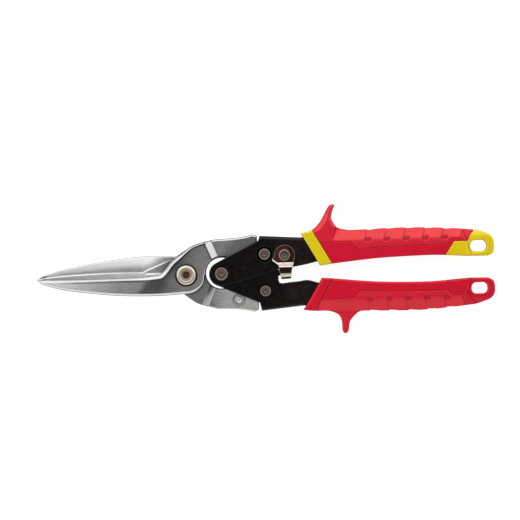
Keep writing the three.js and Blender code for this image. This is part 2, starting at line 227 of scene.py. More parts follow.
def lathe(name, centre, profile, material, sides=64, flip=None):
    """A closed turned piece from [radius, z] points, the first and last on the axis."""
    angles = np.arange(sides) * 2 * math.pi / sides
    points = [[*centre, profile[0][1]], [*centre, profile[-1][1]]]
    for radius, z in profile[1:-1]:
        points += [[centre[0] + radius * math.cos(a), centre[1] + radius * math.sin(a), z] for a in angles]
    rings = len(profile) - 2
    faces = []
    for k in range(sides):
        after = (k + 1) % sides
        faces.append([0, 2 + after, 2 + k])
        faces.append([1, 2 + (rings - 1) * sides + k, 2 + (rings - 1) * sides + after])
        for i in range(rings - 1):
            low, high = 2 + i * sides, 2 + (i + 1) * sides
            faces.append([low + k, low + after, high + after, high + k])
    piece = mesh_piece(name, points, faces, material, flip)
    piece.data.set_sharp_from_angle(angle=CRISP)
    return piece


def tube(name, path, radius, material, sides=16):
    """A wire of round section along a path."""
    path = np.array(path)
    along = np.gradient(path, axis=0)
    along /= np.linalg.norm(along, axis=1)[:, None]
    side = np.cross(along, [0, 0, 1.0])
    side /= np.linalg.norm(side, axis=1)[:, None]
    up = np.cross(side, along)
    turns = np.arange(sides)[:, None] * 2 * math.pi / sides
    rings = [p + radius * (np.cos(turns) * s + np.sin(turns) * u) for p, s, u in zip(path, side, up)]
    faces = [list(range(sides)), [(len(path) - 1) * sides + k for k in reversed(range(sides))]]
    for i in range(len(path) - 1):
        for k in range(sides):
            after = (k + 1) % sides
            faces.append([i * sides + k, (i + 1) * sides + k, (i + 1) * sides + after, i * sides + after])
    return mesh_piece(name, np.vstack(rings), faces, material, None)


# ---- Materials -------------------------------------------

NOISE_LOW, NOISE_HIGH = 0.3, 0.7  # most of a noise's values lie between these


def grey(level):
    return (level,) * 3


class Shading:
    """A node tree, with helpers for the nodes that the materials and the sky share."""

    def __init__(self, tree):
        self.nodes, self.links = tree.nodes, tree.links

    def ramp(self, value, *stops):
        """A colour ramp over value, from [position, colour] stops."""
        ramp = self.nodes.new("ShaderNodeValToRGB")
        elements = ramp.color_ramp.elements
        while len(elements) < len(stops):
            elements.new(0.5)
        for element, (position, colour) in zip(elements, stops):
            element.position = position
            element.color = (*colour, 1)
        self.links.new(value, ramp.inputs["Fac"])
        return ramp.outputs["Color"]

    def scaled(self, value, low, high, start, end):
        """value's stretch from low to high carried over to start and end, and held there beyond."""
        node = self.nodes.new("ShaderNodeMapRange")
        for socket, number in zip(("From Min", "From Max", "To Min", "To Max"), (low, high, start, end)):
            node.inputs[socket].default_value = number
        self.links.new(value, node.inputs["Value"])
        return node.outputs["Result"]

    def mix(self, kind, factor, first, second):
        """Two colours mixed. The factor and the colours may be plain values or sockets."""
        node = self.nodes.new("ShaderNodeMix")
        node.data_type, node.blend_type = "RGBA", kind
        for socket, value in (("Factor", factor), ("A", first), ("B", second)):
            if isinstance(value, bpy.types.NodeSocket):
                self.links.new(value, node.inputs[socket])
            else:
                node.inputs[socket].default_value = value if socket == "Factor" else (*value, 1)
        return node.outputs["Result"]

    def mixed(self, factor, first, second):
        return self.mix("MIX", factor, first, second)

    def multiplied(self, first, second):
        return self.mix("MULTIPLY", 1.0, first, second)


class Surface(Shading):
    """A material on one Principled shader, with helpers for its texture nodes."""

    def __init__(self, name, colour, roughness, metallic=0.0, specular=0.5):
        self.material = bpy.data.materials.new(name)
        self.material.use_nodes = True
        super().__init__(self.material.node_tree)
        self.shader = self.nodes["Principled BSDF"]
        self.shader.inputs["Base Color"].default_value = (*colour, 1)
        self.shader.inputs["Roughness"].default_value = roughness
        self.shader.inputs["Metallic"].default_value = metallic
        self.shader.inputs["Specular IOR Level"].default_value = specular
        place = self.nodes.new("ShaderNodeTexCoord")
        self.place, self.normal = place.outputs["Object"], place.outputs["Normal"]
        self.relief = None

    def noise(self, size, stretch=(1, 1, 1), detail=4.0):
        """Noise whose features are about size millimetres, stretched along the axes."""
        mapping = self.nodes.new("ShaderNodeMapping")
        mapping.inputs["Scale"].default_value = [1 / (size * MM * s) for s in stretch]
        texture = self.nodes.new("ShaderNodeTexNoise")
        texture.inputs["Scale"].default_value = 1.0
        texture.inputs["Detail"].default_value = detail
        self.links.new(self.place, mapping.inputs["Vector"])
        self.links.new(mapping.outputs["Vector"], texture.inputs["Vector"])
        return texture.outputs["Fac"]

    def mottled(self, noise, low, high):
        """Patches from one colour to another over a noise."""
        return self.ramp(noise, [NOISE_LOW, low], [NOISE_HIGH, high])

    def spread(self, noise, low, high):
        """A noise carried over to the range from low to high."""
        return self.scaled(noise, NOISE_LOW, NOISE_HIGH, low, high)

    def graded(self, value, stops, tint=(1, 1, 1)):
        """Shades over a value, at [value, brightness or colour]."""
        start, end = stops[0][0], stops[-1][0]
        shades = [((at - start) / (end - start), np.multiply(shade, tint).tolist()) for at, shade in stops]
        return self.ramp(self.scaled(value, start, end, 0, 1), *shades)

    def rings(self, centre, stops, tint=(1, 1, 1)):
        """Shades in rings about an upright axis, at [radius in mm, brightness or colour]."""
        level, away = (self.nodes.new("ShaderNodeVectorMath") for _ in range(2))
        level.operation, away.operation = "MULTIPLY", "DISTANCE"
        level.inputs[1].default_value = (1, 1, 0)
        away.inputs[1].default_value = (centre[0] * MM, centre[1] * MM, 0)
        self.links.new(self.place, level.inputs[0])
        self.links.new(level.outputs["Vector"], away.inputs[0])
        return self.graded(away.outputs["Value"], [(at * MM, shade) for at, shade in stops], tint)

    def dotted(self, vector, direction):
        node = self.nodes.new("ShaderNodeVectorMath")
        node.operation = "DOT_PRODUCT"
        node.inputs[1].default_value = direction
        self.links.new(vector, node.inputs[0])
        return node.outputs["Value"]

    def along(self, *direction):
        """How far each place lies along a level direction, in millimetres."""
        return self.dotted(self.place, [*(d / MM for d in direction), 0])

    def facing(self):
        """1 where the surface is level and 0 where it is upright."""
        split = self.nodes.new("ShaderNodeSeparateXYZ")
        self.links.new(self.normal, split.inputs["Vector"])
        return self.calculated("ABSOLUTE", split.outputs["Z"])

    def calculated(self, kind, *values):
        """One or two values through a math node."""
        node = self.nodes.new("ShaderNodeMath")
        node.operation = kind
        for value, socket in zip(values, node.inputs):
            self.links.new(value, socket)
        return node.outputs["Value"]

    def dark(self):
        """The painted shade that darken() marked on the piece, or 0."""
        node = self.nodes.new("ShaderNodeAttribute")
        node.attribute_name = "dark"
        return node.outputs["Fac"]

    def cavity(self, reach):
        """1 in the open, and less in grooves and corners within reach millimetres."""
        node = self.nodes.new("ShaderNodeAmbientOcclusion")
        node.inputs["Distance"].default_value = reach * MM
        return node.outputs["AO"]

    def bump(self, height, depth, strength):
        """Relief of about depth millimetres, added over any that the material has."""
        node = self.nodes.new("ShaderNodeBump")
        node.inputs["Distance"].default_value = depth * MM
        node.inputs["Strength"].default_value = strength
        self.links.new(height, node.inputs["Height"])
        if self.relief:
            self.links.new(self.relief, node.inputs["Normal"])
        self.relief = node.outputs["Normal"]
        self.links.new(self.relief, self.shader.inputs["Normal"])

    def drive(self, socket, value):
        self.links.new(value, self.shader.inputs[socket])

    def roughen(self, noise, low, high):
        self.drive("Roughness", self.spread(noise, low, high))


SLANT = math.radians(22.8)  # how far the band across a blade's offset is turned


def ground_steel(name, direction, faces, lean, lines, edge, stamp=None):
    """Blade steel, ground along its length. faces paints reflections on its level faces, as shades along a
    direction, and lines paints shade on the creases and the band of the offset, which slants by lean,
    both at [mm, brightness]. Bevels get a painted highlight as bright as edge, and the narrow steep trim
    outside them is painted dark as shade. stamp is where a round mark is, and its painted shades."""
    roughness = 0.3
    s = Surface(name, edge, roughness, metallic=1.0)
    # Painted reflection: the level faces' brightness is graded along the blade.
    places = s.calculated("ADD", s.along(*direction), s.spread(s.noise(12, detail=3), -2, 2))
    flat = s.graded(places, faces, np.array(edge) / edge[1])
    flat = s.multiplied(flat, s.mottled(s.noise(0.9, detail=5), grey(0.86), grey(1)))
    # Painted highlight on slanting bevels, and painted shade on the steep trim.
    slanting = s.scaled(s.facing(), 0.985, 0.93, 0, 1)
    steep = s.scaled(s.facing(), 0.7, 0.6, 0, 1)
    colour = s.mixed(steep, s.mixed(slanting, flat, edge), grey(0.07))
    # Painted shade along the creases and across the offset's band.
    colour = s.multiplied(colour, s.graded(s.along(math.cos(SLANT), lean * math.sin(SLANT)), lines))
    # Painted shade and highlight in rings on the round mark.
    if stamp:
        colour = s.multiplied(colour, s.rings(*stamp))
    # Painted shade that darken() marked takes the colour towards black.
    s.drive("Base Color", s.mixed(s.dark(), colour, grey(0.01)))
    streaks = s.noise(0.6, stretch=(10, 0.5, 0.5), detail=2)
    s.roughen(streaks, roughness - 0.05, roughness + 0.06)
    s.bump(streaks, 0.004, 0.4)
    return s.material


def front_steel():
    """Painted reflections: brightest near the tip and darkest where the jaw nears the hub, with a painted
    dark line on each side of the offset's band."""
    # Painted reflections, graded along the blade.
    faces = [(-83, 0.72), (-80, 0.92), (-63, 0.86), (-46, 0.58), (-33, 0.36), (-22, 0.3), (-18, 0.105)]
    faces += [(-11, 0.105), (-5, 0.25), (0, 0.3), (10, 0.35), (15, 0.22), (40, 0.19)]
    # Painted dark lines of shade either side of the offset's band.
    lines = [(19, 1), (20, 0.2), (20.8, 1), (24.4, 1), (25.1, 0.2), (25.8, 1)]
    return ground_steel("front blade steel", (0.82, -0.57), faces, 1, lines, (0.74, 0.725, 0.72))


def rear_steel():
    """Painted reflections: dark at the very tip, brightest before the hub and grey under it, with a painted
    darker band across the offset and painted shade and highlight in rings in the tail's round mark."""
    faces = [(-101, 0.1), (-96, 0.12), (-93, 0.44), (-80, 0.5), (-60, 0.58), (-40, 0.68), (-25, 0.74)]
    faces += [(-20, 0.6), (-14, 0.4), (-6, 0.33), (4, 0.28), (16, 0.28), (26, 0.6), (45, 0.64)]
    lines = [(16.6, 1), (17.2, 0.4), (21.3, 0.5), (21.9, 1)]
    # Painted shade and highlight in rings on the round mark.
    rings = [(0, 0.7), (1.6, 1), (2.4, 0.4), (3.4, 0.8), (3.9, 0.2), (4.5, 0.35), (4.8, 1)]
    stamp = (MARK[0], -MARK[1]), rings
    return ground_steel("rear blade steel", (1, 0), faces, -1, lines, (0.75, 0.77, 0.74), stamp)


def turned(name, centre, rings, tint, roughness):
    """Turned or set metal, with painted shade and highlights in rings about its axis, at [radius in mm,
    brightness or colour].
    """
    s = Surface(name, tint, roughness, metallic=1.0)
    mottle = s.mottled(s.noise(1.2, detail=4), grey(0.88), grey(1))
    s.drive("Base Color", s.multiplied(s.rings(centre, rings, tint), mottle))
    return s.material


def black_coat(name):
    """Black oxide and paint over stamped steel, satin with a fine orange peel, and a painted sheen makes it
    lighter towards the grips."""
    s = Surface(name, (0.003, 0.002, 0.0017), 0.2, specular=0.3)
    coat = s.ramp(s.noise(6, detail=6), [0.35, (0.001, 0.0006, 0.0005)], [0.7, (0.003, 0.002, 0.0015)])
    # Painted sheen, lighter towards the grips.
    s.drive("Base Color", s.multiplied(coat, s.rings((20, 0), [(0, 1), (42, 1), (54, 3.6), (150, 3.6)])))
    s.roughen(s.noise(2.5), 0.15, 0.22)
    s.bump(s.noise(0.5, detail=3), 0.003, 0.3)
    return s.material


def plated(name, dark, light, roughness, relief=0.006, bends=1):
    """Plated or pressed metal with a slight mottle. Its brightness is painted by slope: painted shade where
    it is steep, and times bends, as a painted highlight, where it is bent over.
    """
    s = Surface(name, light, roughness, metallic=1.0)
    mottle = s.ramp(s.noise(2.2, detail=5), [0.3, dark], [0.65, light])
    # Painted shade and highlight by how steep the surface is.
    steps = [0.68, 0.05], [0.78, 1.4 * bends], [0.9, bends], [0.95, bends], [0.98, 1]
    bent = s.ramp(s.facing(), *[[at, grey(level)] for at, level in steps])
    # Painted dark reflections that darken() marked take it towards dark brown.
    s.drive("Base Color", s.mixed(s.dark(), s.multiplied(mottle, bent), (0.02, 0.012, 0.01)))
    s.roughen(s.noise(0.8), roughness - 0.04, roughness + 0.05)
    s.bump(s.noise(1.5, detail=2), relief, 0.3)
    return s.material


def moulded(name, level, slanting, roughness, grain, depth, specular):
    """Moulded plastic or rubber, with painted light on its slanting shoulders, most of all on the tool's
    outer side, a fine grain, faint flow lines along the grip and painted shade in its grooves."""
    s = Surface(name, level, roughness, specular=specular)
    # Painted light on slanting shoulders, strongest where they face the tool's outer side.
    leaning, upright = s.scaled(s.facing(), 0.975, 0.91, 0, 1), s.scaled(s.facing(), 0.55, 0.75, 0, 1)
    outer_side = s.scaled(s.dotted(s.normal, (-0.5, 0.86, 0)), -0.3, 0.1, 0.35, 1)
    lit = s.calculated("MULTIPLY", s.calculated("MULTIPLY", leaning, upright), outer_side)
    shade = s.mixed(lit, level, slanting)
    # Painted shade that darken() marked.
    shade = s.mixed(s.dark(), shade, np.multiply(0.8, level).tolist())
    worn = s.mottled(s.noise(14, detail=6), grey(0.9), grey(1))
    lines = s.noise(1.1, stretch=(16, 0.8, 1), detail=3)
    flow = s.ramp(lines, [0.35, grey(0.93)], [0.6, grey(1)])
    # Painted shade in grooves and corners, from ambient occlusion.
    groove_shade = s.ramp(s.cavity(2), [0.4, (0.68, 0.3, 0.45)], [0.85, grey(1)])
    s.drive("Base Color", s.multiplied(s.multiplied(s.multiplied(shade, worn), flow), groove_shade))
    s.roughen(s.noise(5), roughness - 0.05, roughness + 0.06)
    s.bump(s.noise(grain, detail=2), depth, 0.6)
    return s.material


BLACK = black_coat("black coating")
NICKEL = plated("nickel plate", (0.7, 0.62, 0.54), (0.84, 0.78, 0.7), 0.07, 0.003, 0.6)
SPRING = plated("spring wire", (0.35, 0.34, 0.32), (0.5, 0.48, 0.45), 0.3)
PLAIN = plated("plain steel", (0.2, 0.165, 0.165), (0.42, 0.36, 0.35), 0.34)
# Each moulded material's second colour is the painted light on its shoulders.
SOFT_RED = moulded("soft red rubber", (0.5, 0.005, 0.022), (0.66, 0.045, 0.05), 0.5, 0.5, 0.05, 0.2)
FIRM_RED = moulded("firm red plastic", (0.47, 0.0035, 0.02), (0.64, 0.03, 0.04), 0.45, 1.4, 0.01, 0.1)
YELLOW = moulded("yellow plastic", (0.54, 0.44, 0.003), (0.66, 0.58, 0.06), 0.45, 1.4, 0.01, 0.12)
AMBER = moulded("amber yellow plastic", (0.56, 0.42, 0.003), (0.7, 0.57, 0.05), 0.45, 1.4, 0.01, 0.1)


# ---- Blades ----------------------------------------------

BLADE_FACE, BLADE_BACK, TAIL_HALF = 0.15, 6.15, 2.6  # a jaw's two faces, and half its tail's thickness
HUB, EYE, LINK_BORE = 12.8, 6.8, 2.8
CLEARANCE, ASIDE = 10.5, 0.6  # the arc round the handle pivot: its radius, and how far its centre is off
TIP = -101.3
MARK = (35.3, 18.2)  # the round forge mark on the lower tail
BLADE_BLOCK = (-103.5, -15.5, -3.4), (61.5, 28, 7), 0.24


def blade_outline(edge, neck, aside, back):
    """As seen from the blade's outer side, with its tail above the axis."""
    heel = arc((0, 0), HUB, -2, -95)
    return joined(
        spline([*edge, *neck]),
        spline([(20.9, 23.8), (33, 24.2), (41.3, 25.3), (45.5, 26.4)]),
        [(48.2, 25.6), (48.7, 24.9), (48.7, 18.2)],
        arc(LINK, EYE, 120, -105),
        arc((HANDLE_PIVOT[0], aside), CLEARANCE, 50, 184),
        heel,
        spline([heel[-1], *back]),
    )


def ramp_across(grid, start, end):
    """0 on the blade's thick body and 1 on its tail, over a slanted band."""
    across = grid.x * math.cos(SLANT) + grid.y * math.sin(SLANT)
    return np.clip((across - start) / (end - start), 0, 1)


def blade_field(grid, edge, neck, aside, back, lowered, hollow, bore):
    """A whole blade. lowered and hollow are how far its outer and inner faces are ground away, in
    millimetres, over the grid."""
    away = outline_distance(blade_outline(edge, neck, aside, back), grid)
    cutting = line_distance(spline([*edge, *neck]), grid)
    outer_ramp, inner_ramp = ramp_across(grid, 20.4, 25.1), ramp_across(grid, 17.2, 21.6)
    fall = 1.7 * smooth(-14, -46, grid.x) + 1.9 * np.clip((-40 - grid.x) / 62, 0, 1)
    outer = (BLADE_BACK - fall) * (1 - outer_ramp) + TAIL_HALF * outer_ramp - lowered
    inner = (BLADE_FACE + hollow) * (1 - inner_ramp) - TAIL_HALF * inner_ramp
    width = 1.15 + 0.5 * smooth(12, 4, grid.x)
    spare = 0.4 * smooth(3, 1, cutting) * smooth(-14, -20, grid.x)
    field = bevelled(deep(away), grid.z - deep(outer), deep(width), 0.4, deep(spare))
    keen = 1 - smooth(0.6, 3, cutting) * smooth(1, -2, grid.x + 0.4 * grid.y)
    rim = 0.7 - 0.6 * keen * (1 - inner_ramp)
    field = bevelled(field, deep(inner) - grid.z, deep(rim), 0.3 * deep(rim))
    slope = 12
    height = deep(0.7 + slope * cutting + 9 * smooth(-9, 2, grid.x))
    field = np.maximum(field, (grid.z - height) / slope)
    field = np.maximum(field, bore - deep(radial(grid, (0, 0))))
    return np.maximum(field, LINK_BORE - deep(radial(grid, LINK)))


def front_blade():
    """Lower jaw and upper tail, on top. A painted dark line of shade sets off the facet along its edge and
    neck.
    """
    grid = Grid(*BLADE_BLOCK)
    edge = [(TIP + 0.4, -0.3), (-80, -0.8), (-65, -0.9), (-35, -0.6), (-20, 0.6), (-16.8, 1.9)]
    neck = [(-14.1, 5), (-11.9, 8), (-8.9, 11), (-4.9, 14), (1.3, 18), (5, 20), (11.3, 22), (20.9, 23.8)]
    back = [(-20.7, -13.6), (-44.8, -12.8), (-69.7, -10), (-86.1, -7.2), (-98.3, -3.4), (TIP + 0.4, -1.3)]
    cutting = line_distance(spline([*edge, *neck]), grid)
    lowered = 0.36 * np.maximum(facet_width(grid.x) - cutting, 0) * smooth(16, 8, grid.x)
    field = blade_field(grid, edge, neck, ASIDE, back, lowered, 0, 4.3)
    piece = surface("front_blade_ground", grid, field, front_steel())
    at = Spots(piece)
    cutting = line_distance(spline([*edge, *neck]), at)
    # Painted shade: a dark line beside the facet, a grey band on the neck's outer edge, and black round the
    # clearance.
    strength = np.interp(at.x, [-90, -75, -32, -25, -14, -6, 12, 15], [0, 0.65, 0.7, 0.2, 0.3, 0.95, 0.95, 0])
    crease_shade = strength * np.exp(-(((cutting - facet_width(at.x) - 0.65) / 0.6) ** 2))
    outer = 0.5 * smooth(1.9, 1.3, cutting) * smooth(-15, -12, at.x) * smooth(2, -3, at.x)
    darken(piece, np.maximum(np.maximum(crease_shade, outer), round_pivot(at, ASIDE)) * (at.z > 1))
    return piece


def facet_width(x):
    """How wide the facet along the front blade's cutting edge and neck is."""
    return 1.6 + 1.4 * smooth(-50, -8, x) - 1.9 * smooth(-6, 6, x)


def round_pivot(at, aside):
    """The edge of the clearance round the handle pivot, painted black as shade."""
    return 0.9 * smooth(CLEARANCE + 1, CLEARANCE + 0.6, radial(at, (HANDLE_PIVOT[0], aside)))


def rear_blade():
    """Upper jaw and lower tail, underneath: drawn like the front blade, then turned over. A land runs
    along its cutting edge, and the hollow grind between the land and the spine runs out at the hub."""
    grid = Grid(*BLADE_BLOCK)
    edge = [(TIP - 0.3, 1.2), (-66, 3.3), (-35, 3.3), (-17, 3.3), (-11, 5)]
    neck = [(-3.5, 11.7), (3, 17), (8.5, 20.2), (20.9, 23.8)]
    back = [(-24.3, -13.8), (-44.8, -12.4), (-69.4, -9.1), (-85.8, -6.2), (-98.2, -2.5), (TIP - 0.3, 0.2)]
    corner, end = np.array([-30, -2.2]), np.array([-13.6, -8.9])
    ridge = spline([(-99, 0), (-90, -0.9), (-80, -1.5), (-65, -2.1), (-50, -2.45), corner])
    ridge = np.vstack([ridge, [end, (-9, -10.2)]])
    land = 0.03 * np.clip(1 - grid.y, 0, 4)
    hollow = hollow_grind(grid, ridge) + hollow_end(grid, corner, end)
    field = blade_field(grid, edge, neck, -ASIDE, back, 0, land + hollow, 4.75)
    away = radial(grid, MARK)
    mark = 0.35 * smooth(4.4, 3.9, away) - 0.35 * smooth(2.6, 2.2, away) + 0.35 * smooth(1.4, 1, away)
    field = np.maximum(field, deep(mark - TAIL_HALF - 40 * smooth(4.4, 5.4, away)) - grid.z)
    piece = surface("rear_blade_ground", grid, field, rear_steel(), flip="x")
    at = Spots(piece, "x")
    down, wide = across_hollow(at, ridge)
    # Painted shade on the hollow near its ridge, fading towards the spine, and black round the clearance.
    shade = 0.38 * (down > 0) * (1 - down / wide) * smooth(-75, -37, at.x) * smooth(-24, -32, at.x)
    darken(piece, np.maximum(shade, round_pivot(at, -ASIDE) * (at.z < 1)))
    return piece


def across_hollow(grid, ridge):
    """How far the hollow grind lies beyond its ridge, and how wide it is there."""
    low = np.interp(grid.x, ridge[:, 0], ridge[:, 1])
    wide = np.interp(grid.x, [-95, -80, -65, -50, -35], [3.5, 6, 7.5, 9, 10.3])
    return np.maximum(low - grid.y, 0), wide


def hollow_grind(grid, ridge):
    """Depth of the grind beyond the ridge: a small step, then steeper and steeper towards the back."""
    down, wide = across_hollow(grid, ridge)
    across = down / wide
    relief = 0.01 * across + 0.18 * np.clip(across - 0.25, 0, 0.4) ** 2
    relief = relief + 0.145 * np.maximum(across - 0.65, 0)
    relief = 0.3 * smooth(0, 0.7, down) + wide * relief
    relief = relief * smooth(-101, -92, grid.x) * (1 - 0.7 * smooth(-20, -9, grid.x))
    return relief + 0.5 * smooth(-93.5, -101, grid.x) * smooth(0, 0.4, down)


def hollow_end(grid, corner, end):
    """Depth of the facet that ends the grind at the hub, below the line from corner to end."""
    run = (end - corner) / np.linalg.norm(end - corner)
    below = (grid.x - corner[0]) * -run[1] + (grid.y - corner[1]) * run[0]
    pocket = 0.15 * np.clip(below, 0, 6) * smooth(-1.2, -2, grid.y) * smooth(-29, -26, grid.x)
    return pocket * (1 - smooth(-10, -7, grid.x))


# ---- Pivot bolt ------------------------------------------


def pivot_bolt():
    """Round head with a dished face and a hex socket, and its shank down to the nut."""
    grid = Grid((-7.4, -7.4, -10.6), (7.4, 7.4, 10.4), 0.16)
    bottom, base, top = -10, 7.15, 9.75
    head_radius, shank_radius, socket_half = 6.65, 4, 2.4
    r = radial(grid, (0, 0))
    head = round_max(deep(r - head_radius), grid.z - top, 1.5)
    head = np.maximum(head, base - grid.z)
    middle, half = (base + bottom) / 2, (base - bottom) / 2
    shank = round_max(deep(r - shank_radius), np.abs(grid.z - middle) - half - 0.2, 0.3)
    field = np.minimum(head, np.maximum(shank, grid.z - base - 0.5))
    dish = deep(top - 0.7 * (1 - smooth(3.5, 4.5, r)))
    field = round_max(field, grid.z - dish, 0.12)
    angle, sector = np.arctan2(grid.y, grid.x), math.pi / 3
    facet = np.abs((angle + sector / 2) % sector - sector / 2)
    socket = np.maximum(deep(r * np.cos(facet) - socket_half), top - socket_half - grid.z)
    return surface("pivot_bolt_head", grid, round_max(field, -socket, 0.2), bolt_nickel())


def bolt_nickel():
    """Painted shade, tinted brown, in the socket and the dish, and a painted highlight on the ring round
    them.
    """
    dull = [(0, 0.35), (1.1, 0.12), (2.3, 0.1), (2.6, 0.6), (3.3, 0.62), (3.9, 0.5)]
    bright = [(4.3, 0.85), (4.8, 1), (6, 1), (7, 0.6)]
    shade_tint = np.array((1, 0.82, 0.68))
    rings = [(at, level * shade_tint) for at, level in dull] + bright
    return turned("bolt nickel", (0, 0), rings, (0.8, 0.73, 0.63), 0.24)


def head_washer():
    """A thin blackened ring that shows all round the head."""
    profile = [(0, 6.45), (7.5, 6.45), (7.7, 6.6), (7.7, 6.85), (7.5, 7), (0, 7)]
    return lathe("head_washer_ring", (0, 0), profile, BLACK)


# ---- Handle channels -------------------------------------

SHEET, GAP = 2.1, 0.3
LOWER_WALL = 2.9  # half the space between the lower channel's walls, which run inside the upper one's
UPPER_WALL = LOWER_WALL + SHEET + GAP
LATCH_BASE = UPPER_WALL + SHEET + GAP
TONGUE = 8.35
WEB_FRONT = 50.4  # where the webs between the walls start
HANDLE_BORE, WALL_BORE, LATCH_HOLE, LATCH_DISC = 2.9, 2.5, 2.3, 7
CHANNEL_STEP = 0.32
TANG = [(79.2, 23.2), (168, 19.5), (168, 12.5), (95, 9)]


def channel_field(grid, outline, inner, dimple):
    """A U-shaped pressing whose web runs under the outline's upper edge, with its rivets' holes."""
    away = outline_distance(outline, grid)
    web_line = np.array([(WEB_FRONT, 25.5), TANG[0], TANG[1]])
    web = np.interp(grid.x, web_line[:, 0], web_line[:, 1]) + 0.06 * np.maximum(WEB_FRONT - grid.x, 0)
    under = web - grid.y
    fold = 0.4 + 1.7 * (1 - smooth(1.5, 4.5, under)) * smooth(WEB_FRONT - 1, WEB_FRONT + 0.6, grid.x)
    height = np.abs(grid.z) + deep(dimple)
    field = round_max(deep(away), height - inner - SHEET, deep(fold))
    field = np.maximum(field, -np.maximum(height - inner, deep(SHEET - under)))
    for centre, radius in (HANDLE_PIVOT, HANDLE_BORE), (LINK, WALL_BORE):
        field = np.maximum(field, radius - deep(radial(grid, centre)))
    return field


def upper_channel():
    grid = Grid((14.5, -10, -8.3), (169.5, 26.6, 8.3), CHANNEL_STEP)
    outline = joined(
        arc(HANDLE_PIVOT, TONGUE, 270, 118),
        [(49.4, 21.9), (WEB_FRONT, 25.15)],
        TANG,
        spline([(88.4, 6.3), (80, 4.5), (72.4, 3.3)]),
        [(62.6, 1.8), (42.3, -3.8)],
    )
    dimple = 2.25 * (1 - smooth(4.3, 5.7, radial(grid, LINK)))
    field = channel_field(grid, outline, UPPER_WALL, dimple)
    latch_hole = np.minimum(deep(LATCH_HOLE - radial(grid, LATCH_PIVOT)), grid.z)
    return surface("upper_channel_pressed", grid, np.maximum(field, latch_hole), BLACK)


def lower_channel():
    """Drawn mirrored. The tooth beside the notch is what the latch hooks under."""
    grid = Grid((14.5, -10, -6), (169.5, 26.9, 6), CHANNEL_STEP)
    outline = joined(
        arc(HANDLE_PIVOT, TONGUE, 280, 112),
        [(49.4, 20.3), (50.6, 25.9)],
        TANG,
        spline([(89.6, 7.9), (82.7, 5.9), (77.1, 6.4)]),
        spline([(70, 7), (64.8, 7.5), (62.9, 6.4), (62.5, 2.7)]),
        [(64.1, 1.9), (63.3, -1.5), (40, -5.6)],
    )
    flat = np.zeros((grid.x.size, grid.y.size))
    field = channel_field(grid, outline, LOWER_WALL, flat)
    return surface("lower_channel_pressed", grid, field, BLACK, flip="y")


# ---- Rivets and latch ------------------------------------


def rivet(name, centre, radius, shank, face, height, flip=None):
    """A set rivet: on each side a flat head with a shallow ring pressed into it and a rounded rim."""
    top, rim, ring = face + height, 0.45, 0.68 * radius
    half = [(0.5, top - 0.25), (1, top - 0.05), (ring - 0.35, top), (ring, top - 0.16), (ring + 0.3, top)]
    angles = np.radians([0, 30, 60, 90])
    half += [(radius - rim + rim * math.sin(a), top - rim + rim * math.cos(a)) for a in angles]
    half += [(radius, face + 0.05), (radius - 0.1, face), (shank, face)]
    profile = [(0, top - 0.25), *half, *[(r, -z) for r, z in reversed(half)], (0, 0.25 - top)]
    seen = (centre[0], -centre[1] if flip else centre[1])
    # Painted shade at the centre and in the pressed ring, and a painted highlight just outside it.
    rings = [(0, 0.35), (1, 0.62), (ring - 0.7, 0.5), (ring, 0.28), (ring + 0.45, 1.1), (radius, 0.85)]
    metal = turned(f"{name}_steel", seen, rings, (0.26, 0.205, 0.195), 0.34)
    return lathe(name, centre, profile, metal, flip=flip)


def latch_rivet():
    """Clenched over the latch, with a raised rim round its dished face."""
    top = LATCH_BASE + 1.3
    face = [(0, 0.75), (2.3, 0.75), (2.7, 0.85), (3, 1.2), (3.4, 1.2), (3.8, 0.8), (4, 0.3), (4, 0), (2, 0)]
    foot = [(2, 0.1), (3.4, 0.1), (3.4, 0.9), (3, 1.3), (0, 1.3)]
    profile = [(r, top + z) for r, z in face] + [(r, UPPER_WALL - z) for r, z in foot]
    # Painted shade on the dished face and a painted highlight on its raised rim.
    rings = [(0, 0.22), (0.9, 0.5), (1.8, 0.36), (2.4, 0.16), (2.9, 0.3), (3.2, 1.15), (3.5, 1)]
    rings += [(3.75, 0.4), (4, 0.25)]
    metal = turned("latch rivet steel", LATCH_PIVOT, rings, (0.36, 0.31, 0.28), 0.32)
    return lathe("latch_rivet_head", LATCH_PIVOT, profile, metal)


def latch_distance(at):
    """Signed distance to the latch's outline: its disc, with the pad and the lip on it."""
    outline = rounded([
        [64.6, -4.8, 0.4], [71, -4.5, 0.4], [71.7, 0.7, 1], [72.8, 5, 1], [73.9, 9.5, 2],
        [72.5, 14.5, 2], [62.2, 16.8, 1], [58.4, 8, 0.9], [63, 4.5, 1.2], [63.1, 1, 1],
    ])
    return np.minimum(outline_distance(outline, at), radial(at, LATCH_PIVOT) - LATCH_DISC)


